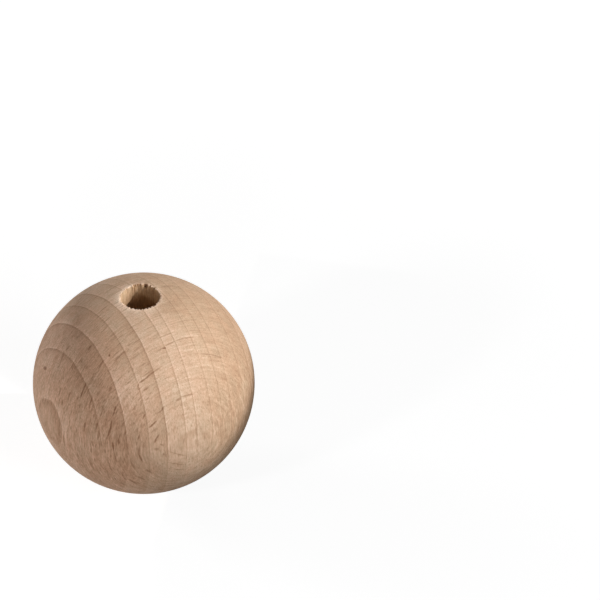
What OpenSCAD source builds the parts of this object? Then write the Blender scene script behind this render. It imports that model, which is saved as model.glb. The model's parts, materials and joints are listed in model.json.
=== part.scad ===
// Turned beech ball with a hole drilled right through it, for a cord or a slim rod.
// The ball stands upright on the rim of its lower mouth.
// Millimetres, +Z up along the hole, origin at the centre of the ball.

/* [Ball] */
// Diameter of the turned ball
ball_d = 35; // [20:0.5:60]

/* [Hole] */
// Diameter of the drilled hole
bore_d = 6; // [3:0.1:10]
// Radius of the sanded edge round each mouth of the hole
lip_r = 0.15; // [0.05:0.05:0.6]

/* [Hidden] */
$fn = 120;

ball_r = ball_d / 2;
bore_r = bore_d / 2;
// How far a cutter runs past what it cuts
cut_over = 1;

// The edge's round touches the hole's wall on one side and the ball's surface on the other
lip_x = bore_r + lip_r;
lip_z = sqrt(pow(ball_r - lip_r, 2) - pow(lip_x, 2));
// Where a line from the ball's centre through the round's centre leaves the ball
lip_reach = (ball_r + cut_over) / (ball_r - lip_r);

// The sharp corner at the upper mouth that the rounded edge replaces, in section
module sharp_corner() {
    difference() {
        polygon([
            [bore_r - cut_over, lip_z],
            [lip_x, lip_z],
            [lip_x * lip_reach, lip_z * lip_reach],
            [bore_r - cut_over, ball_r + cut_over]
        ]);
        translate([lip_x, lip_z]) circle(r = lip_r);
    }
}

// Half of the ball's section, beside the hole, which one turn of the lathe sweeps round
module section() {
    difference() {
        circle(r = ball_r);
        translate([-ball_r - cut_over, -ball_r - cut_over])
            square([ball_r + cut_over + bore_r, 2 * (ball_r + cut_over)]);
        sharp_corner();
        mirror([0, 1]) sharp_corner();
    }
}

module ball() {
    color("burlywood") rotate_extrude() section();
}

ball();
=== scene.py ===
import json
import math
import bpy
from mathutils import Euler, Matrix, Vector


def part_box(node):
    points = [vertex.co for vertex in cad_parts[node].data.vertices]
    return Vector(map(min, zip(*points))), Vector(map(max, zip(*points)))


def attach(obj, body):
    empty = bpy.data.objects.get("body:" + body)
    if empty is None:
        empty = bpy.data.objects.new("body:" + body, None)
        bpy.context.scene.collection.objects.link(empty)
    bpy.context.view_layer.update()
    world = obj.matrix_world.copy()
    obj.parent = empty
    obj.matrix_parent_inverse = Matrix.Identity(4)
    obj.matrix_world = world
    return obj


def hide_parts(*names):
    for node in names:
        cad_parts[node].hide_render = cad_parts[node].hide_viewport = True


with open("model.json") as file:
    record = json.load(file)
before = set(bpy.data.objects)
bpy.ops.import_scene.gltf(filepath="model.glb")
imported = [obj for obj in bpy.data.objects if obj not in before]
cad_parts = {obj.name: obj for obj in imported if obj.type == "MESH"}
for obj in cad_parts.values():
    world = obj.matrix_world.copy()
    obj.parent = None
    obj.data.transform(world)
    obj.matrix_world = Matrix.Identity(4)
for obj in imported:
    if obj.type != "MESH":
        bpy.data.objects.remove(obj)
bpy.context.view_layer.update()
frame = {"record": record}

mm = 0.001
scene = bpy.context.scene


class Term:  # one value in a node tree; sums and calls on it add Math nodes
    def __init__(self, tree, socket):
        self.tree = tree
        self.socket = socket

    def calc(self, operation, *others):
        node = self.tree.nodes.new("ShaderNodeMath")
        node.operation = operation
        for slot, value in zip(node.inputs, (self, *others)):
            plug(self.tree, value, slot)
        return Term(self.tree, node.outputs[0])

    def rise(self, low, high):  # 0 at low, 1 at high, eased at both
        node = self.tree.nodes.new("ShaderNodeMapRange")
        node.interpolation_type = "SMOOTHSTEP"
        for name, value in (("Value", self), ("From Min", low), ("From Max", high)):
            plug(self.tree, value, node.inputs[name])
        return Term(self.tree, node.outputs["Result"])

    def fade(self, reach):  # 1 at nothing, falling off over this reach
        return (self / reach * -1.0).calc("EXPONENT")

    def __rsub__(self, other):
        return self * -1.0 + other


sums = {
    "__add__": "ADD", "__sub__": "SUBTRACT", "__mul__": "MULTIPLY", "__truediv__": "DIVIDE",
    "above": "GREATER_THAN", "below": "LESS_THAN", "power": "POWER",
    "most": "MAXIMUM", "least": "MINIMUM", "sine": "SINE", "cosine": "COSINE", "root": "SQRT",
    "size": "ABSOLUTE", "sign": "SIGN", "turnTo": "ARCTAN2", "timesPlus": "MULTIPLY_ADD",
}
for word, operation in sums.items():
    setattr(Term, word, lambda self, *others, operation=operation: self.calc(operation, *others))


def plug(tree, value, slot):
    if isinstance(value, Term):
        tree.links.new(value.socket, slot)
    else:
        slot.default_value = value


def addNode(tree, kind, inputs=None, **settings):
    node = tree.nodes.new(kind)
    for name, value in settings.items():
        setattr(node, name, value)
    for name, value in (inputs or {}).items():
        plug(tree, value, node.inputs[name])
    return node


def output(tree, kind, name, inputs=None, **settings):
    return Term(tree, addNode(tree, kind, inputs, **settings).outputs[name])


def vector(tree, x, y, z):
    return output(tree, "ShaderNodeCombineXYZ", "Vector", {"X": x, "Y": y, "Z": z})


def split(tree, value):
    node = addNode(tree, "ShaderNodeSeparateXYZ", {"Vector": value})
    return [Term(tree, out) for out in node.outputs]


def onVectors(tree, operation, *values):
    node = addNode(tree, "ShaderNodeVectorMath", operation=operation)
    for slot, value in zip(node.inputs, values):
        plug(tree, value, slot)
    return Term(tree, node.outputs["Vector"])


def noise(tree, value, scales, detail=2.0, roughness=0.5):  # about -0.5 to 0.5, its cells by the unit
    stretched = onVectors(tree, "MULTIPLY", value, scales)
    return output(tree, "ShaderNodeTexNoise", "Fac", {
        "Vector": stretched, "Scale": 1.0, "Detail": detail, "Roughness": roughness}) - 0.5


def strayed(tree, value, scales, reach):  # the same place, moved at random by up to about half this reach
    stretched = onVectors(tree, "MULTIPLY", value, scales)
    moved = output(tree, "ShaderNodeTexNoise", "Color", {
        "Vector": stretched, "Scale": 1.0, "Detail": 1.0, "Roughness": 0.5})
    moved = onVectors(tree, "SUBTRACT", moved, (0.5, 0.5, 0.5))
    return onVectors(tree, "ADD", value, onVectors(tree, "MULTIPLY", moved, (reach, reach, reach)))


def cells(tree, value, sizes):  # distance to the nearest cell's centre, and two chances of that cell
    stretched = onVectors(tree, "DIVIDE", value, sizes)
    node = addNode(tree, "ShaderNodeTexVoronoi", {"Vector": stretched, "Scale": 1.0})
    first, second, _ = split(tree, Term(tree, node.outputs["Color"]))
    return Term(tree, node.outputs["Distance"]), first, second


def ramp(tree, value, stops, interpolation):  # stops: place along it and colour
    node = addNode(tree, "ShaderNodeValToRGB", {"Fac": value})
    bar = node.color_ramp
    bar.interpolation = interpolation
    while len(bar.elements) < len(stops):
        bar.elements.new(1.0)
    for element, (place, _) in zip(bar.elements, stops):
        element.position = place
    for element, (_, colour) in zip(bar.elements, stops):    # once they stand in order
        element.color = (*colour, 1.0)
    return Term(tree, node.outputs["Color"])


view = {
    "frame": 600.0,             # pixels across
    "ballAt": (144.0, 383.1),   # the ball's centre, pixels from the left and the top
    "ballRadius": 110.7,        # pixels
    "lookDown": 37.5,           # degrees
    "lens": 167.6,              # mm
    "sensor": 36.0,             # mm
    "nearest": 0.01,            # metres that it still sees
}


def focal():  # in pixels
    return view["lens"] / view["sensor"] * view["frame"]


def eye():  # the camera's turn and the ball's middle as the camera has it
    turn = Euler((math.radians(90.0 - view["lookDown"]), 0.0, 0.0)).to_matrix()
    off = ballShape["ball"] * focal() / view["ballRadius"]
    right = (view["ballAt"][0] - view["frame"] / 2) / focal() * off
    up = (view["frame"] / 2 - view["ballAt"][1]) / focal() * off
    return turn, Vector((right, up, -off))


ballShape = {
    "ball": -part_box("ball")[0].x,      # radius
    "hole": frame["record"]["mounts"][0]["dims"]["r_mm"] * mm,     # radius
    "edge": 0.15 * mm,         # round at each mouth
    "around": 400,             # faces round the ball
    "skinRows": 140,           # from mouth to mouth over the outside
    "edgeRows": 8,             # over each mouth's round
    "wallRows": 84,            # down the hole
    "crowding": 0.88,          # how far the rows crowd towards the mouths, 0 to 1
    "toothDepth": 0.20 * mm,   # fine teeth that the drill left round each mouth
    "toothPitch": 0.47 * mm,
    "toothRun": 0.30 * mm,     # how far they run down the wall
    "pitchNoise": 3.0,         # how unevenly they stand
    "depthNoise": 1.8,         # how unequal their depths are, on top of commonDepth
    "commonDepth": 0.9,
    "toothCurve": 1.6,         # 1 for straight flanks, more for thin tips
    "toothReach": 0.7,         # over the skin, as a share of their depth
    "toothDrop": 0.75,         # how far they cut the skin down, likewise
    "tearDepth": 0.09 * mm,    # wood torn out along the wall
    "tearFrom": (-0.08, 0.25),     # noise over which the wall goes from whole to torn
    "mouthsApart": 3.0,        # keeps the two mouths' patterns unlike
    "weld": 0.0005 * mm,
    "seed": 4.0,
}
# noise at the mouths: cells by the hole's radius (across, across, down), detail and roughness
mouthNoise = {
    "pitch": ((2.5, 2.5, 1.0), 2.0, 0.5),
    "depth": ((3.1, 3.1, 1.3), 2.0, 0.5),
    "wall": ((5.0, 5.0, 2.2), 4.0, 0.65),
}
# bigger chips at the upper mouth: degrees round from +X, half width, depth, run down the wall, and tone,
# which is painted shade in the chip's hollow
chips = [
    (78.0, 0.38 * mm, 0.60 * mm, 0.40 * mm, -1.20),
    (64.0, 0.20 * mm, 0.26 * mm, 0.30 * mm, -0.45),
    (94.0, 0.34 * mm, 0.22 * mm, 0.55 * mm, -0.50),
    (103.0, 0.38 * mm, 0.24 * mm, 0.55 * mm, -0.45),
    (111.0, 0.18 * mm, 0.30 * mm, 0.80 * mm, -0.40),
    (50.0, 0.14 * mm, 0.16 * mm, 0.30 * mm, -0.20),
    (203.0, 0.16 * mm, 0.16 * mm, 0.30 * mm, -0.10),
    (318.0, 0.15 * mm, 0.14 * mm, 0.30 * mm, -0.10),
]


def atChip(turn, angle, width):  # 1 at the chip's middle, 0 at its sides
    return (turn - math.radians(angle)).cosine().rise(math.cos(width / ballShape["hole"]), 1.0)


def ballTree():
    tree = bpy.data.node_groups.new("turnedBall", "GeometryNodeTree")
    face = tree.interface
    face.new_socket("Geometry", in_out="INPUT", socket_type="NodeSocketGeometry")
    face.new_socket("Geometry", in_out="OUTPUT", socket_type="NodeSocketGeometry")
    for name in ("Ball", "Hole", "Edge", "Tooth depth", "Tooth run", "Tear depth", "Seed"):
        face.new_socket(name, in_out="INPUT", socket_type="NodeSocketFloat")
    face.new_socket("Around", in_out="INPUT", socket_type="NodeSocketInt")
    face.new_socket("Wood", in_out="INPUT", socket_type="NodeSocketMaterial")
    inside = tree.nodes.new("NodeGroupInput")
    given = {out.name: Term(tree, out) for out in inside.outputs if out.name}
    ball, hole, edge = given["Ball"], given["Hole"], given["Edge"]

    rows = [ballShape[name] for name in ("skinRows", "edgeRows", "wallRows", "edgeRows")]
    total = sum(rows)
    grid = output(tree, "GeometryNodeMeshGrid", "Mesh", {
        "Size X": 1.0, "Size Y": 1.0, "Vertices X": given["Around"] + 1.0, "Vertices Y": total + 1})
    across, along, _ = split(tree, output(tree, "GeometryNodeInputPosition", "Position"))
    turn = (across + 0.5) * math.tau
    row = (along + 0.5) * float(total)

    # the section: skin, lower round, wall, upper round, one after another
    edgeX = hole + edge
    edgeZ = ((ball - edge).power(2.0) - edgeX.power(2.0)).root()
    lean = (edgeX / (ball - edge)).calc("ARCSINE")   # from the axis to where skin meets round
    crowd = ballShape["crowding"] / math.tau
    starts = [float(sum(rows[:i])) for i in range(len(rows))]
    share = [((row - start) / float(count)).most(0.0).least(1.0) for start, count in zip(starts, rows)]
    eased = [part - (part * math.tau).sine() * crowd for part in share]
    polar = lean + (lean * -2.0 + math.pi) * eased[0]
    low = lean - math.pi / 2 - (lean + math.pi / 2) * share[1]
    high = math.pi - (lean + math.pi / 2) * share[3]
    out = [ball * polar.sine(), edgeX + edge * low.cosine(), hole, edgeX + edge * high.cosine()]
    up = [ball * polar.cosine(), edge * low.sine() - edgeZ, edgeZ * (eased[2] * 2.0 - 1.0),
          edgeZ + edge * high.sine()]
    reach, height = out[0], up[0]
    for part in (1, 2, 3):
        past = row.above(starts[part] + 0.5)
        reach = reach + (out[part] - reach) * past
        height = height + (up[part] - height) * past

    # teeth, chips and torn fibres, all cut into the wood
    side = height.sign()
    ring = vector(tree, turn.cosine(), turn.sine(), side * ballShape["mouthsApart"] + given["Seed"])
    count = round(math.tau * ballShape["hole"] / ballShape["toothPitch"])
    uneven = noise(tree, ring, *mouthNoise["pitch"]) * ballShape["pitchNoise"]
    teeth = ((turn * (count / math.tau) + uneven).calc("PINGPONG", 0.5) * 2.0).power(ballShape["toothCurve"])
    clumps = noise(tree, ring, *mouthNoise["depth"]) * ballShape["depthNoise"] + ballShape["commonDepth"]
    depth = (edgeZ - height.size()).most(0.0)            # down the wall from the mouth
    tear = given["Tooth depth"] * teeth * clumps * depth.fade(given["Tooth run"])
    for angle, width, deep, run, _ in chips:
        tear = tear + atChip(turn, angle, width) * height.above(0.0) * deep * depth.fade(run)
    onSkin = (reach - edgeX).most(0.0).fade(given["Tooth depth"] * ballShape["toothReach"])
    onWall = row.above(starts[1] + 0.5 * rows[1]) * row.below(starts[3] + 0.5 * rows[3])
    wallSpot = vector(tree, turn.cosine(), turn.sine(), height / given["Hole"])
    torn = noise(tree, wallSpot, *mouthNoise["wall"]).rise(*ballShape["tearFrom"])
    cut = tear * onSkin
    reach = reach + cut + onWall * given["Tear depth"] * torn
    height = height - side * cut * ballShape["toothDrop"]

    place = vector(tree, reach * turn.cosine(), reach * turn.sine(), height)
    shape = output(tree, "GeometryNodeSetPosition", "Geometry", {"Geometry": grid, "Position": place})
    shape = output(tree, "GeometryNodeMergeByDistance", "Geometry", {
        "Geometry": shape, "Distance": ballShape["weld"]})
    shape = output(tree, "GeometryNodeSetShadeSmooth", "Geometry", {"Geometry": shape})
    shape = output(tree, "GeometryNodeRealizeInstances", "Geometry", {"Geometry": shape})
    shape = output(tree, "GeometryNodeSetMaterial", "Geometry", {
        "Geometry": shape, "Material": given["Wood"]})
    last = tree.nodes.new("NodeGroupOutput")
    plug(tree, shape, last.inputs[0])
    return tree


def makeBall(wood):
    start = bpy.data.objects.new("ballStart", bpy.data.meshes.new("ballStart"))
    scene.collection.objects.link(start)
    tree = ballTree()
    turned = start.modifiers.new("turned", "NODES")
    turned.node_group = tree
    given = [item for item in tree.interface.items_tree if item.in_out == "INPUT"]
    sockets = {item.name: item.identifier for item in given}
    values = {
        "Ball": ballShape["ball"], "Hole": ballShape["hole"], "Edge": ballShape["edge"],
        "Tooth depth": ballShape["toothDepth"], "Tooth run": ballShape["toothRun"],
        "Tear depth": ballShape["tearDepth"], "Seed": ballShape["seed"],
        "Around": ballShape["around"], "Wood": wood,
    }
    for name, value in values.items():
        turned[sockets[name]] = value
    mesh = bpy.data.meshes.new_from_object(start.evaluated_get(bpy.context.evaluated_depsgraph_get()))
    mesh.name = "turnedBall"
    piece = bpy.data.objects.new("turnedBall", mesh)
    scene.collection.objects.link(piece)
    bpy.data.objects.remove(start)
    return piece


beech = {
    "pith": Vector((-101.4, -71.8, 4.85)) * mm,                      # the tree's heart, level with the ball
    "lean": Euler((math.radians(-2.86), math.radians(0.72), 0.0)),   # the fibres against the hole
    "bow": 0.007,               # 1/mm, how the rings widen below the ball's middle
    "wander": 0.25,             # mm, how far rings and rays stray
    "wanderCells": (0.2, 0.2, 0.12),    # to the mm, two ways across the fibres and along them
    "refraction": 1.45,
    "gloss": 0.22,
    "roughness": 0.68,
    "fibreGloss": -0.4,         # what a fibre's tone adds to the roughness
    "reliefDepth": 0.05 * mm,
    "reliefStrength": 0.40,
    "poreRelief": 1.5,
    "rayRelief": 0.6,
}
# tones are logarithms of lightness, 0 for the wood's own; each with its colour, darkest first
woodColours = [
    (-1.3, (0.195, 0.097, 0.049)),
    (-0.7, (0.328, 0.184, 0.106)),
    (-0.3, (0.455, 0.282, 0.178)),
    (0.0, (0.590, 0.386, 0.257)),
    (0.25, (0.721, 0.503, 0.358)),
    (0.5, (0.883, 0.655, 0.500)),
]
# growth rings: edge in mm from the heart, tone of the ring beyond it, pale line just beyond it,
# and the dark wood just before it with its width in mm; the first ring's own edge is off the ball
rings = [
    (103.95, -0.01, 0.12, 0.12, 1.0),
    (107.27, 0.02, 0.20, 0.08, 0.8),
    (110.62, -0.08, 0.14, 0.17, 1.3),
    (113.70, -0.03, 0.16, 0.14, 2.2),
    (116.70, 0.01, 0.10, 0.06, 1.0),
    (119.35, 0.08, 0.12, 0.16, 1.2),
    (122.35, 0.07, 0.12, 0.10, 0.9),
    (124.25, 0.04, 0.12, 0.05, 0.6),
    (127.10, -0.02, 0.08, 0.05, 1.2),
    (129.10, -0.08, 0.04, 0.05, 1.0),
    (131.00, -0.11, 0.07, 0.02, 0.8),
    (134.20, -0.16, 0.05, 0.03, 1.0),
    (136.90, -0.12, 0.05, 0.05, 1.2),
    (139.40, -0.10, 0.06, 0.06, 1.2),
    (142.40, -0.08, 0.06, 0.06, 1.2),
]
ringLook = {
    "tones": 0.5,               # what brings any tone above nothing, as a ramp holds it
    "farthest": 200.0,          # mm from the heart that a ramp can hold
    "widest": 4.0,              # mm of dark wood that a ramp can hold
    "lastWide": 3.0,            # mm, the last ring
    "varyNoise": ((0.4, 0.16, 0.14), 1.0),  # cells to the mm (out, round, up) and detail
    "vary": 2.2,                # how unevenly the lines show
    "paleReach": 0.30,          # mm
    "glow": 0.05,               # paler wood beyond the pale line
    "glowReach": 1.1,           # mm
    "paleUp": (-6.0, 3.0),      # mm up the fibres over which pale lines come out
    "paleLow": 0.25,            # their strength under that
    "darkUp": (-4.0, 9.0),      # the same for the dark wood
    "darkLow": 0.2,
    "darkCurve": 1.4,
    "line": 0.16,               # thin dark line at the edge itself
    "lineFrom": (0.30, 0.12),   # mm before the edge where it comes
    "lineTo": (0.0, 0.06),      # and where it goes
}
plateau = 0.5   # a ray or knot seen one by one has its full tone above this share of a blob
# rays seen one by one, as strokes in the view: both ends in mm right of and above the ball's middle,
# width in mm and darkness, below nothing for a pale one
seenRays = [
    (-5.46, 4.50, -5.46, 4.22, 0.24, 1.5),      # a speck
    (-9.14, 0.07, -9.60, -1.00, 0.26, 1.0),     # left
    (-9.60, -1.00, -10.04, -2.19, 0.24, 1.2),
    (-8.30, -2.40, -8.55, -3.30, 0.25, 1.0),
    (-8.55, -3.30, -8.72, -4.10, 0.20, 0.8),
    (-10.40, -2.25, -10.60, -2.60, 0.28, 0.5),
    (-13.14, -0.66, -13.48, -2.02, 0.22, 0.7),
    (-7.05, -1.30, -7.44, -2.00, 0.28, 0.4),
    (-6.37, 3.60, -7.10, 2.35, 0.28, 0.7),
    (-11.80, 5.85, -12.30, 5.20, 0.26, 0.5),
    (-12.65, 4.80, -13.05, 3.60, 0.24, 0.6),
    (-8.38, 5.90, -8.85, 5.23, 0.30, 0.8),
    (-9.75, 3.75, -9.90, 3.35, 0.25, 0.4),
    (-8.85, 2.85, -9.20, 2.30, 0.28, 0.4),
    (-11.30, 2.90, -11.48, 2.40, 0.30, 0.5),
    (-10.75, 2.70, -10.95, 2.30, 0.28, 0.4),
    (-9.93, 1.60, -10.00, 1.03, 0.28, 0.35),
    (-12.70, 1.00, -12.80, 0.65, 0.25, 0.35),
    (-11.60, -1.40, -11.90, -1.95, 0.25, 0.35),
    (-12.85, -2.70, -13.00, -3.50, 0.20, 0.8),
    (-6.35, -3.85, -6.52, -4.35, 0.28, 0.4),
    (-6.08, -2.50, -6.35, -2.90, 0.28, 0.5),
    (-7.10, 0.75, -7.25, 0.40, 0.28, 0.3),
    (-7.95, 1.65, -8.05, 1.30, 0.25, 0.3),
    (-7.85, -5.00, -7.95, -5.40, 0.28, 0.5),
    (-9.25, -6.20, -9.36, -7.00, 0.28, 0.9),    # lower left
    (-9.36, -7.00, -9.42, -7.60, 0.25, 0.35),
    (-7.32, -6.40, -7.55, -7.20, 0.28, 0.65),
    (-7.08, -7.70, -7.30, -8.90, 0.27, 0.6),
    (-12.75, -8.15, -12.58, -9.84, 0.22, 0.6),
    (-12.42, -6.90, -12.36, -9.90, 0.30, -0.30),
    (-8.29, -9.05, -8.06, -9.84, 0.25, 0.6),
    (-8.46, -10.30, -8.35, -10.90, 0.28, 0.4),
    (-6.93, -9.25, -6.90, -9.90, 0.25, 0.3),
    (-8.74, -12.10, -8.18, -13.20, 0.24, 0.45),
    (-8.18, -13.20, -7.78, -13.80, 0.22, 0.4),
    (-7.80, -11.90, -7.75, -12.40, 0.28, 0.5),
    (-11.50, -6.90, -11.60, -7.25, 0.28, 0.5),
    (-5.44, -13.00, -5.15, -13.75, 0.25, 0.6),
    (-5.05, -5.85, -5.30, -7.10, 0.27, 0.9),
    (-5.30, -7.10, -5.70, -8.45, 0.27, 1.2),
    (-4.42, -3.65, -4.62, -4.35, 0.30, 0.95),
    (-4.62, -4.35, -5.00, -5.30, 0.22, 0.6),
    (-4.14, -2.12, -4.25, -2.72, 0.27, 0.4),
    (-5.15, -0.60, -5.55, -1.34, 0.33, 0.6),
    (-4.60, -0.90, -4.50, -1.30, 0.24, 0.1),
    (-3.63, -8.00, -3.92, -8.75, 0.22, 0.45),
    (-4.02, -8.85, -3.97, -9.70, 0.32, 0.85),
    (-4.98, -9.35, -4.81, -10.60, 0.28, 1.15),
    (-4.78, -10.75, -4.36, -12.50, 0.24, 0.8),
    (-2.95, 5.08, -3.69, 4.42, 0.26, 0.75),     # middle
    (-3.69, 4.42, -4.55, 3.55, 0.28, 0.65),
    (-3.30, 5.20, -4.60, 4.05, 0.20, -0.25),
    (1.60, 1.80, 0.89, 1.33, 0.26, 0.5),
    (0.89, 1.33, 0.10, 0.69, 0.26, 0.9),
    (0.10, 0.69, -0.70, 0.08, 0.26, 1.2),
    (-0.86, -0.08, -1.03, -0.60, 0.24, 0.5),
    (-1.03, -0.60, -0.72, -1.30, 0.24, 0.25),
    (0.60, 1.55, -0.70, 0.55, 0.22, -0.25),
    (3.38, 5.55, 2.90, 5.47, 0.30, 1.0),
    (2.85, 5.50, 1.90, 4.98, 0.22, 0.45),
    (3.36, 5.88, 4.76, 6.53, 0.22, 0.7),
    (4.76, 6.60, 6.26, 7.05, 0.22, 0.5),
    (6.26, 7.08, 7.86, 7.24, 0.20, 0.45),
    (3.60, 6.20, 5.60, 7.00, 0.22, -0.15),
    (5.80, 7.28, 8.60, 7.58, 0.24, -0.15),
    (6.10, 5.10, 8.10, 5.38, 0.20, -0.15),
    (3.90, 9.15, 6.20, 9.75, 0.20, 0.25),
    (5.10, -2.78, 5.80, -2.42, 0.34, 0.7),
    (5.90, -2.20, 7.70, -1.75, 0.27, 0.55),
    (6.00, -2.62, 7.60, -2.25, 0.22, -0.20),
    (3.12, -3.70, 2.85, -4.28, 0.28, 0.9),
    (2.85, -4.28, 2.15, -4.75, 0.22, 0.6),
    (0.15, -4.95, -0.15, -5.62, 0.28, 0.7),
    (0.80, -2.30, 0.15, -2.72, 0.22, 0.5),
    (-0.30, -3.00, -0.60, -3.50, 0.28, 0.35),
    (-2.55, -3.35, -2.90, -3.85, 0.28, 0.35),
    (-1.52, -2.10, -1.85, -2.60, 0.24, 0.3),
    (-2.35, 1.95, -2.55, 1.65, 0.28, 0.35),
    (-1.70, 2.35, -1.90, 2.00, 0.32, 0.4),
    (1.95, -5.95, 1.45, -6.45, 0.25, 1.0),      # lower middle
    (1.45, -6.45, 0.92, -7.00, 0.25, 1.1),
    (1.82, -7.20, 1.23, -7.78, 0.27, 0.5),
    (2.40, -8.15, 1.96, -8.77, 0.28, 0.8),
    (1.96, -8.77, 1.72, -9.42, 0.28, 1.0),
    (3.00, -9.85, 2.60, -9.65, 0.28, 0.6),
    (2.25, -10.50, 1.75, -10.42, 0.45, 0.6),
    (3.00, -11.10, 3.25, -11.40, 0.30, 0.35),
    (-1.55, -6.30, -1.78, -6.55, 0.26, 0.5),
    (-0.40, -6.30, -0.50, -7.00, 0.24, 0.5),
    (-1.08, -7.20, -1.15, -7.80, 0.26, 0.55),
    (-0.65, -8.20, -0.97, -8.95, 0.28, 0.65),
    (-1.05, -9.30, -1.20, -9.80, 0.26, 0.4),
    (-0.78, -10.25, -0.80, -11.30, 0.28, 0.6),
    (-0.80, -11.30, -0.25, -12.45, 0.28, 0.9),
    (-0.42, -10.10, -0.40, -11.30, 0.24, -0.25),
    (-2.05, -12.50, -1.43, -13.70, 0.28, 0.65),
    (0.42, -13.70, 1.17, -14.18, 0.26, 0.6),
    (-0.85, -14.80, 0.15, -15.32, 0.22, 0.6),
    (-2.30, -15.25, -1.08, -15.98, 0.25, 0.7),
    (-3.45, -14.10, -3.20, -14.80, 0.24, 0.35),
    (4.10, -10.90, 6.40, -11.50, 0.17, 0.4),    # lower right
    (3.95, -12.62, 6.50, -12.95, 0.17, 0.55),
    (4.30, -13.70, 6.60, -13.60, 0.17, 0.3),
    (8.20, -7.20, 8.25, -8.10, 0.34, 0.35),
    (8.20, -8.80, 8.22, -9.70, 0.34, 0.4),
    (8.90, 4.64, 10.40, 4.55, 0.22, 0.4),       # right
    (10.40, 4.55, 12.25, 4.08, 0.22, 0.4),
    (2.80, 15.15, 4.60, 15.45, 0.40, 0.35),
]
pinKnot = {
    "at": (-15.65, 2.36),       # mm right of and above the ball's middle in the view
    "radius": 0.36 * mm,
    "depth": 1.0 * mm,
    "tone": -0.95,
}
# broad patches, mm: out from the heart, round it, up the fibres, half of each size, and tone
patches = [
    (115.0, -11.5, 9.5, 5.0, 6.0, 5.5, 0.20),
    (110.0, -5.0, 6.5, 3.0, 6.0, 8.0, -0.14),
    (126.5, -4.5, 16.5, 3.6, 3.2, 3.0, -0.16),
    (112.5, 6.5, 11.0, 6.0, 6.0, 6.0, 0.14),
    (124.5, 4.0, 17.0, 7.0, 7.0, 4.0, -0.12),
    (115.0, -13.0, -5.5, 7.0, 7.0, 6.0, -0.16),
]
patchEdge = 0.9     # a patch has its full tone above this share of its blob
# rays beyond those: cell size in mm (out, round, up), share of it filled, darkness, share of the cells
# that have one, and how much of it is left on the side where the rays above are
rayLayers = [
    ((16.0, 0.66, 3.6), 0.34, 0.90, 0.45, 0.15),
    ((9.0, 0.42, 1.9), 0.34, 0.55, 0.55, 0.8),
    ((5.0, 0.24, 1.0), 0.38, 0.40, 0.70, 1.0),
]
rayLook = {
    "tone": -0.68,
    "depth": 1.0,               # mm into the wood
    "ends": 0.3,                # how far a stroke's end passes its point, as a share of its half width
    "core": 0.4,                # share of a ray's reach that has its full darkness
    "least": 0.4,               # darkness of the faintest; the darkest have 1 more
    "flatRound": (13.0, 17.0),  # mm round the heart over which rings come to lie flat, and rays go
    "flatOut": (119.0, 127.0),  # mm out from it, likewise
    "flatLoss": 0.7,
}
# fibres: noise cells to the mm (out, round, up), detail, strength in tone
fibreLayers = [
    ((5.0, 5.0, 0.75), 3.0, 0.85),    # bundles of fibres
    ((12.0, 12.0, 2.6), 2.0, 0.60),   # single ones
    ((0.45, 6.0, 1.4), 2.0, 0.32),    # sheets of fine rays
    ((0.25, 5.0, 0.25), 2.0, 0.62),   # long ones
    ((1.1, 1.1, 0.5), 2.0, 0.30),
    ((0.25, 0.22, 0.10), 2.0, 0.22),  # slow drift
]
fibreLook = {
    "roughness": 0.62,
    "strength": 1.3,
    "calmOut": (109.0, 119.0),  # mm from the heart over which they get fainter
    "wildOut": (122.0, 131.0),  # and stronger again, on the wood below wildUp
    "wildUp": (9.0, 2.0),       # mm up the fibres
    "change": 0.5,
}
pores = {
    "cell": (0.17, 0.17, 2.2),  # mm
    "edge": (0.42, 0.16),       # of a cell, where a pore begins and where it is darkest
    "many": 0.6,
    "tone": -0.30,
}
seenSide = {    # the side of the ball that shows the rays set one by one
    "up": 0.61,
    "front": 0.79,
    "blend": 2.0,               # mm either way
}
mouthWood = {
    "wallFrom": (0.12, 0.25),   # mm down the hole over which the drilled wall begins
    "wallReach": (0.7, 0.5),    # mm past the hole's radius where the wall is over, and where it starts to go
    "wallTone": -0.02,
    "wallPaintedLight": 0.24,           # painted light: paler towards -X, where the key lamp falls, darker towards +X, in shade
    "wallYellow": 0.10,
    "wallRays": 0.3,            # how much of the rays shows there
    "depth": (0.5, 4.0),        # mm down over which painted shade darkens the wall; the next tone is that painted shade
    "deepShadeTone": -0.45,
    "frayTone": 0.85,
    "frayReach": 0.5,           # mm out from the mouth's edge
    "frayWide": 1.25,           # times that reach on average
    "fraySide": 0.55,           # times it more towards -X, and less towards +X
    "frayWaves": 0.6,           # mm
    "waveNoise": ((2.2, 2.2, 0.8), 2.0),    # cells to the mm (out, round, up), detail and roughness
    "frayNoise": ((3.5, 3.5, 1.0), 3.0, 0.7),
    "frayFrom": (-0.22, 0.10),  # noise over which frayed ends show
    "frayLeast": 0.4,
}
woodTint = {
    "noise": ((0.55, 0.5, 0.3), 3.0, 0.6),
    "patchy": 0.22,             # redder and browner patches
    "innerRed": 0.10,
    "innerOut": (119.0, 112.0),     # mm from the heart over which that comes in
    "outerRed": -0.02,
    "outerOut": (119.0, 122.0),
    "yellow": 0.01,
    "lastYellow": 0.02,
    "lastOut": (124.0, 129.0),
    "redTo": (0.5, -0.3, -0.5),     # what red adds to each colour
}


def seenSpot(x, y):  # the skin's point seen here, mm right of and above the ball's middle
    perPixel = ballShape["ball"] / mm / view["ballRadius"]
    turn, middle = eye()
    across = (view["ballAt"][0] - view["frame"] / 2 + x / perPixel) / focal()
    up = (view["frame"] / 2 - view["ballAt"][1] + y / perPixel) / focal()
    look = Vector((across, up, -1.0)).normalized()
    along = look.dot(middle)
    reach = along - math.sqrt(along ** 2 - middle.length_squared + ballShape["ball"] ** 2)
    return turn @ (look * reach - middle)


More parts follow.
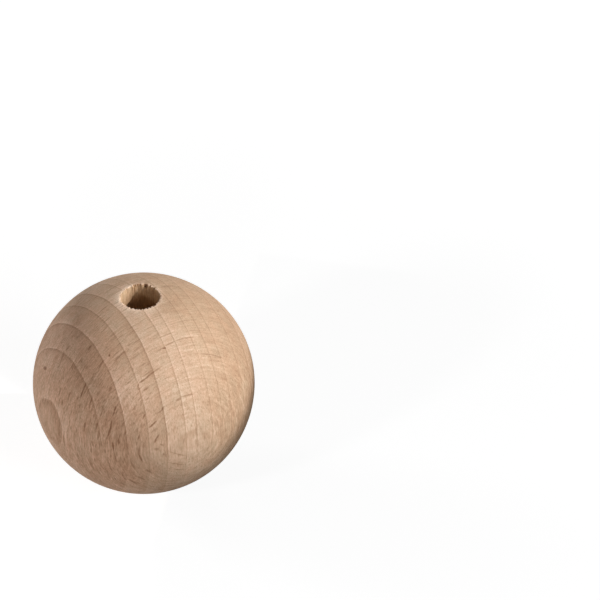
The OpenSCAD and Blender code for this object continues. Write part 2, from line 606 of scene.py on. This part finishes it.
def placeInTree(point):  # as treeSpot finds it
    x, y, up = beech["lean"].to_matrix().transposed() @ (point - beech["pith"]) / mm
    heart = beech["pith"].to_2d() / mm
    facing = math.atan2(-heart.y, -heart.x)
    out = math.hypot(x, y) - beech["bow"] * min(up, 0.0) ** 2
    return Vector((out, (math.atan2(y, x) - facing) * heart.length, up))


def asStroke(x1, y1, x2, y2, wide):  # a stroke in the view as a blob in the tree: middle, turn and halves
    further = 1.01      # from the ball's middle, to find which way is out of the skin
    point = seenSpot((x1 + x2) / 2, (y1 + y2) / 2)
    middle = placeInTree(point)
    along = placeInTree(seenSpot(x2, y2)) - placeInTree(seenSpot(x1, y1))
    deep = placeInTree(point * further) - middle
    deep = (deep - deep.project(along)).normalized()
    aside = deep.cross(along).normalized()
    span = math.hypot(x2 - x1, y2 - y1)
    sideX = (y1 - y2) / span * wide / 2
    sideY = (x2 - x1) / span * wide / 2
    edge = seenSpot((x1 + x2) / 2 + sideX, (y1 + y2) / 2 + sideY)
    half = abs((placeInTree(edge) - middle).dot(aside))
    axes = Matrix((along.normalized(), aside, deep)).transposed()
    soft = 1 / (1 - plateau / 2)    # a blob's reach against where it is half faded
    reach = along.length / 2 * soft + half * rayLook["ends"]
    return middle, axes.to_euler(), (reach, half * soft, rayLook["depth"])


def treeSpot(tree):  # place in the tree, mm: out from the heart, round it, up the fibres
    spot = output(tree, "ShaderNodeTexCoord", "Object")
    trunk = output(tree, "ShaderNodeMapping", "Vector", {
        "Vector": spot, "Location": beech["pith"], "Rotation": beech["lean"], "Scale": (mm, mm, mm)},
        vector_type="TEXTURE")
    x, y, up = split(tree, strayed(tree, trunk, beech["wanderCells"], beech["wander"]))
    heart = beech["pith"].to_2d() / mm
    facing = math.atan2(-heart.y, -heart.x)
    out = (x.power(2.0) + y.power(2.0)).root() - up.least(0.0).power(2.0) * beech["bow"]
    around = (y.turnTo(x) - facing) * heart.length
    return spot, vector(tree, out, around, up), out


def ringTone(tree, place, out):
    index = None
    for edge, *_ in rings[1:]:
        past = out.above(edge)
        index = past if index is None else index + past
    count = len(rings)
    index = (index + 0.5) / float(count)
    edges = [row[0] for row in rings]
    edges.append(edges[-1] + ringLook["lastWide"])
    tones, far, wide = ringLook["tones"], ringLook["farthest"], ringLook["widest"]
    near, ahead = [], []
    for i, (edge, tone, pale, _, _) in enumerate(rings):
        _, _, _, dark, width = rings[min(i + 1, count - 1)]
        near.append((i / count, (edge / far, tone + tones, pale)))
        ahead.append((i / count, (edges[i + 1] / far, dark, width / wide)))
    inner, tone, pale = split(tree, ramp(tree, index, near, "CONSTANT"))
    outer, dark, width = split(tree, ramp(tree, index, ahead, "CONSTANT"))
    gone = out - inner * far
    left = outer * far - out
    vary = noise(tree, place, *ringLook["varyNoise"]) * ringLook["vary"] + 1.0
    _, _, up = split(tree, place)
    clear = up.rise(*ringLook["paleUp"]) * (1.0 - ringLook["paleLow"]) + ringLook["paleLow"]
    tone = tone - tones + pale * gone.fade(ringLook["paleReach"]) * vary * clear
    tone = tone + gone.fade(ringLook["glowReach"]) * ringLook["glow"]
    high = up.rise(*ringLook["darkUp"]) * (1.0 - ringLook["darkLow"]) + ringLook["darkLow"]
    before = (1.0 - left / (width * wide)).most(0.0).power(ringLook["darkCurve"])
    tone = tone - dark * vary * high * before
    line = left.rise(*ringLook["lineFrom"]) * left.rise(*ringLook["lineTo"])
    return tone - line * clear * ringLook["line"]


def blob(tree, place, middle, halves, turn=(0.0, 0.0, 0.0)):  # 1 at its middle, 0 at its edge
    fit = output(tree, "ShaderNodeMapping", "Vector", {
        "Vector": place, "Location": middle, "Rotation": turn, "Scale": halves}, vector_type="TEXTURE")
    return output(tree, "ShaderNodeTexGradient", "Fac", {"Vector": fit}, gradient_type="SPHERICAL")


def rayTone(tree, place, facing):
    out, around, _ = split(tree, place)
    total = 0.0
    for *stroke, dark in seenRays:
        middle, turn, halves = asStroke(*stroke)
        total = blob(tree, place, middle, halves, turn).least(plateau).timesPlus(dark / plateau, total)
    flat = 1.0 - around.size().rise(*rayLook["flatRound"]) * rayLook["flatLoss"]
    flat = flat * (1.0 - out.rise(*rayLook["flatOut"]) * rayLook["flatLoss"])
    for sizes, fill, dark, many, seen in rayLayers:
        away, chance, depth = cells(tree, place, sizes)
        shown = (facing * (seen - 1.0) + 1.0) * flat
        ray = away.rise(fill, fill * rayLook["core"]) * chance.below(many)
        total = total + ray * (depth + rayLook["least"]) * shown * dark
    return total * rayLook["tone"]


def fibreTone(tree, place, out):
    fibres = None
    for scales, detail, strength in fibreLayers:
        part = noise(tree, place, scales, detail, fibreLook["roughness"]) * strength
        fibres = part if fibres is None else fibres + part
    _, _, up = split(tree, place)
    calm = out.rise(*fibreLook["calmOut"]) * fibreLook["change"]
    wild = out.rise(*fibreLook["wildOut"]) * up.rise(*fibreLook["wildUp"]) * fibreLook["change"]
    return fibres * (fibreLook["strength"] - (calm - wild))


def poreTone(tree, place):
    away, chance, _ = cells(tree, place, pores["cell"])
    return away.rise(*pores["edge"]) * chance.below(pores["many"]) * pores["tone"]


def patchTone(tree, place, spot):
    knot = pinKnot["radius"]
    halves = (knot, knot, pinKnot["depth"])
    pin = blob(tree, spot, seenSpot(*pinKnot["at"]), halves, eye()[0].to_euler())
    tone = pin.least(plateau) * (pinKnot["tone"] / plateau)
    for *patch, shade in patches:
        tone = tone + blob(tree, place, patch[:3], patch[3:]).rise(0.0, patchEdge) * shade
    return tone


# pale frayed ends outside; inside, the drilled wall's own tone with painted shade that darkens down the hole
# and painted light that makes its -X side paler and its +X side darker; painted shade in the upper mouth's
# chips; with it comes 1 on the drilled wall, 0 elsewhere
def mouthFrayAndPaintedLight(tree, place, spot):
    x, y, z = spot
    reach = (x.power(2.0) + y.power(2.0)).root()
    side = x / reach                                    # -1 to 1 from the left to the right
    hole, ball = ballShape["hole"] / mm, ballShape["ball"] / mm
    rim = math.sqrt(ball ** 2 - hole ** 2)
    down = rim - z.size()
    past, still = mouthWood["wallReach"]
    onWall = down.rise(*mouthWood["wallFrom"]) * reach.rise(hole + past, hole + still)
    # painted shade: the drilled wall darkens down the hole
    deep = down.rise(*mouthWood["depth"]) * mouthWood["deepShadeTone"]
    # painted light and shade: the wall is paler on its -X side and darker on its +X side
    wall = onWall * (deep + mouthWood["wallTone"] - side * mouthWood["wallPaintedLight"])

    fromRim = ((reach - hole).power(2.0) + (z.size() - rim).power(2.0)).root()
    frayed = noise(tree, place, *mouthWood["frayNoise"]).rise(*mouthWood["frayFrom"])
    frayed = frayed * (1.0 - mouthWood["frayLeast"]) + mouthWood["frayLeast"]
    wide = (mouthWood["frayWide"] - side * mouthWood["fraySide"]) * mouthWood["frayReach"]
    waves = noise(tree, place, *mouthWood["waveNoise"]) * mouthWood["frayWaves"]
    fray = ((fromRim + waves).most(0.0) / wide).fade(1.0) * frayed * mouthWood["frayTone"]

    turn = y.turnTo(x)
    # painted shade: each chip's hollow darkened by its tone
    chipShade = None
    for angle, width, _, run, dark in chips:
        part = atChip(turn, angle, width) * fromRim.fade(run / mm) * dark
        chipShade = part if chipShade is None else chipShade + part
    return wall + fray * (1.0 - onWall) + chipShade * z.above(0.0), onWall


def woodColour(tree, place, out, tone, onWall):
    darkest, palest = woodColours[0][0], woodColours[-1][0]
    span = palest - darkest
    stops = [((value - darkest) / span, colour) for value, colour in woodColours]
    colour = ramp(tree, (tone - darkest) / span, stops, "LINEAR")
    red = noise(tree, place, *woodTint["noise"]) * woodTint["patchy"]
    red = red + out.rise(*woodTint["innerOut"]) * woodTint["innerRed"]
    red = red + out.rise(*woodTint["outerOut"]) * woodTint["outerRed"]
    yellow = out.rise(*woodTint["lastOut"]) * woodTint["lastYellow"] + woodTint["yellow"]
    yellow = yellow + onWall * mouthWood["wallYellow"]
    toRed, toGreen, toBlue = [red * share + 1.0 for share in woodTint["redTo"]]
    return onVectors(tree, "MULTIPLY", colour, vector(tree, toRed, toGreen, toBlue - yellow))


def beechMaterial():
    wood = bpy.data.materials.new("beech")
    wood.use_nodes = True
    tree = wood.node_tree
    shader = tree.nodes["Principled BSDF"]
    spot, place, out = treeSpot(tree)
    x, y, z = split(tree, onVectors(tree, "DIVIDE", spot, (mm, mm, mm)))
    facing = (z * seenSide["up"] - y * seenSide["front"]).rise(-seenSide["blend"], seenSide["blend"])
    fibres = fibreTone(tree, place, out)
    specks = poreTone(tree, place)
    rays = rayTone(tree, place, facing)
    # the mouths bring pale frayed ends, and painted shade and painted light in the hole and its chips
    mouths, onWall = mouthFrayAndPaintedLight(tree, place, (x, y, z))
    shown = 1.0 - onWall * (1.0 - mouthWood["wallRays"])
    tone = ringTone(tree, place, out) + fibres + specks + rays * shown
    tone = tone + patchTone(tree, place, spot) + mouths

    plug(tree, woodColour(tree, place, out, tone, onWall), shader.inputs["Base Color"])
    plug(tree, beech["refraction"], shader.inputs["IOR"])
    plug(tree, beech["gloss"], shader.inputs["Specular IOR Level"])
    plug(tree, fibres * beech["fibreGloss"] + beech["roughness"], shader.inputs["Roughness"])
    bump = output(tree, "ShaderNodeBump", "Normal", {
        "Strength": beech["reliefStrength"], "Distance": beech["reliefDepth"],
        "Height": fibres + specks * beech["poreRelief"] + rays * beech["rayRelief"]})
    plug(tree, bump, shader.inputs["Normal"])
    return wood


studio = {
    "floorSize": 1.2,       # metres
    "floorTone": 0.45,
    "floorGlow": 0.88,      # what the camera sees on top of the lit paper near the ball
    "clearing": (0.06, 0.25),   # metres from the ball over which the paper turns plain white
    "world": 0.03,
}
# a black card beside the ball, out of the camera's sight, that keeps the paper's light off its dark edge
flag = {
    "around": 78.0,         # degrees round from the front towards +X
    "fold": ((5.0, -16.9), (30.0, -16.9), (70.0, 0.0)),     # mm out from the ball's middle and up
    "wide": 120.0 * mm,
    "tone": 0.02,
}
# each seen from the ball: degrees round from the front towards +X and up, metres off and wide, watts,
# and for a lamp with a barn door, how far under the ball's middle its light ends
lamps = {
    "key": (90.0, 35.0, 0.5, 0.004, 9.0, 9.6 * mm),
    "side": (50.0, 20.0, 0.5, 0.25, 0.80, None),
    "fill": (-47.0, 25.0, 0.5, 0.06, 0.28, None),
    "front": (0.0, 5.0, 0.5, 0.10, 0.52, None),
    "rim": (-115.0, 8.0, 0.5, 0.16, 0.80, None),
    "back": (180.0, 20.0, 0.5, 0.16, 0.16, None),
}
beam = {
    "radius": 100.0 * mm,   # at the ball
    "softEdge": 4.0 * mm,
    "tilt": 20.0,           # degrees, its edge from level, lower on the camera's side
}


def outward(around):  # a level direction, in degrees from the front towards +X, and the one to its right
    turn = math.radians(around)
    away = Vector((math.sin(turn), -math.cos(turn), 0.0))
    return away, Vector((away.y, -away.x, 0.0))


def upright(length):
    return Vector((0.0, 0.0, length))


def makeLamp(name, around, up, off, wide, watts, ends):
    data = bpy.data.lights.new(name, "SPOT" if ends else "AREA")
    data.energy = watts
    aim = upright(0.0)
    rise = math.radians(up)
    away, aside = outward(around)
    place = (away * math.cos(rise) + upright(math.sin(rise))) * off
    if ends:
        data.shadow_soft_size = wide / 2
        data.spot_size = 2.0 * math.atan(beam["radius"] / off)
        data.spot_blend = 1.0 - (1.0 - beam["softEdge"] / beam["radius"]) ** 2
        tilt = math.radians(beam["tilt"])
        above = upright(math.cos(rise)) - away * math.sin(rise)
        aim = (above * math.cos(tilt) + aside * math.sin(tilt)) * (beam["radius"] - ends)
    else:
        data.shape = "DISK"
        data.size = wide
    light = bpy.data.objects.new(name, data)
    light.location = place
    light.rotation_euler = (place - aim).to_track_quat("Z", "Y").to_euler()
    scene.collection.objects.link(light)


def seenOnly(tree):  # 1 for rays that look at the studio, 0 for those that light the ball
    path = tree.nodes.new("ShaderNodeLightPath")
    seen = Term(tree, path.outputs["Is Camera Ray"])
    for name in ("Is Glossy Ray", "Is Transmission Ray"):
        seen = seen.most(Term(tree, path.outputs[name]))
    return seen


def matt(name, tone):
    paper = bpy.data.materials.new(name)
    paper.use_nodes = True
    tree = paper.node_tree
    tree.nodes.clear()
    return paper, tree, addNode(tree, "ShaderNodeBsdfDiffuse", {"Color": (tone, tone, tone, 1.0)})


def finishMaterial(tree, shader):
    out = tree.nodes.new("ShaderNodeOutputMaterial")
    tree.links.new(shader.outputs[0], out.inputs[0])


def makeSheet(name, corners, faces, material):
    mesh = bpy.data.meshes.new(name)
    mesh.from_pydata(corners, [], faces)
    mesh.materials.append(material)
    sheet = bpy.data.objects.new(name, mesh)
    scene.collection.objects.link(sheet)
    return sheet


def makeFloor():
    paper, tree, lit = matt("paleFloor", studio["floorTone"])
    glow = addNode(tree, "ShaderNodeEmission", {"Color": (1.0, 1.0, 1.0, 1.0)})
    x, y, _ = split(tree, output(tree, "ShaderNodeTexCoord", "Object"))
    away = (x.power(2.0) + y.power(2.0)).root().rise(*studio["clearing"])
    strength = away * (1.0 - studio["floorGlow"]) + studio["floorGlow"]
    plug(tree, seenOnly(tree) * strength, glow.inputs["Strength"])
    both = tree.nodes.new("ShaderNodeAddShader")
    tree.links.new(lit.outputs[0], both.inputs[0])
    tree.links.new(glow.outputs[0], both.inputs[1])
    finishMaterial(tree, both)
    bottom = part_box("ball")[0].z
    half = studio["floorSize"] / 2
    corners = [(-half, -half, bottom), (half, -half, bottom), (half, half, bottom), (-half, half, bottom)]
    floor = makeSheet("floor", corners, [(0, 1, 2, 3)], paper)


def makeFlag():
    black, tree, lit = matt("blackCard", flag["tone"])
    finishMaterial(tree, lit)
    away, aside = outward(flag["around"])
    half = aside * (flag["wide"] / 2)
    corners = []
    for out, up in flag["fold"]:
        middle = (away * out + upright(up)) * mm
        corners += [middle - half, middle + half]
    card = makeSheet("flag", corners, [(0, 1, 3, 2), (2, 3, 5, 4)], black)
    card.visible_camera = False
    card.visible_shadow = False


def makeStudio():
    world = bpy.data.worlds.new("studio")
    scene.world = world
    world.use_nodes = True
    tree = world.node_tree
    sky = tree.nodes["Background"]
    sky.inputs["Color"].default_value = (1.0, 1.0, 1.0, 1.0)
    plug(tree, seenOnly(tree) * (1.0 - studio["world"]) + studio["world"], sky.inputs["Strength"])
    makeFloor()
    makeFlag()
    for name, settings in lamps.items():
        makeLamp(name, *settings)


def makeCamera():
    data = bpy.data.cameras.new("camera")
    data.lens = view["lens"]
    data.sensor_width = view["sensor"]
    data.clip_start = view["nearest"]
    camera = bpy.data.objects.new("camera", data)
    turn, middle = eye()
    camera.rotation_euler = turn.to_euler()
    camera.location = turn @ -middle
    scene.collection.objects.link(camera)
    scene.camera = camera


scene.view_settings.view_transform = "Standard"
makeCamera()
print("camera set")
beechWood = beechMaterial()
print("beech mixed:", len(beechWood.node_tree.nodes), "nodes")
turnedBall = makeBall(beechWood)
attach(turnedBall, "root")
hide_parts("ball")
print("ball turned:", len(turnedBall.data.polygons), "faces")
makeStudio()
print("studio lit")
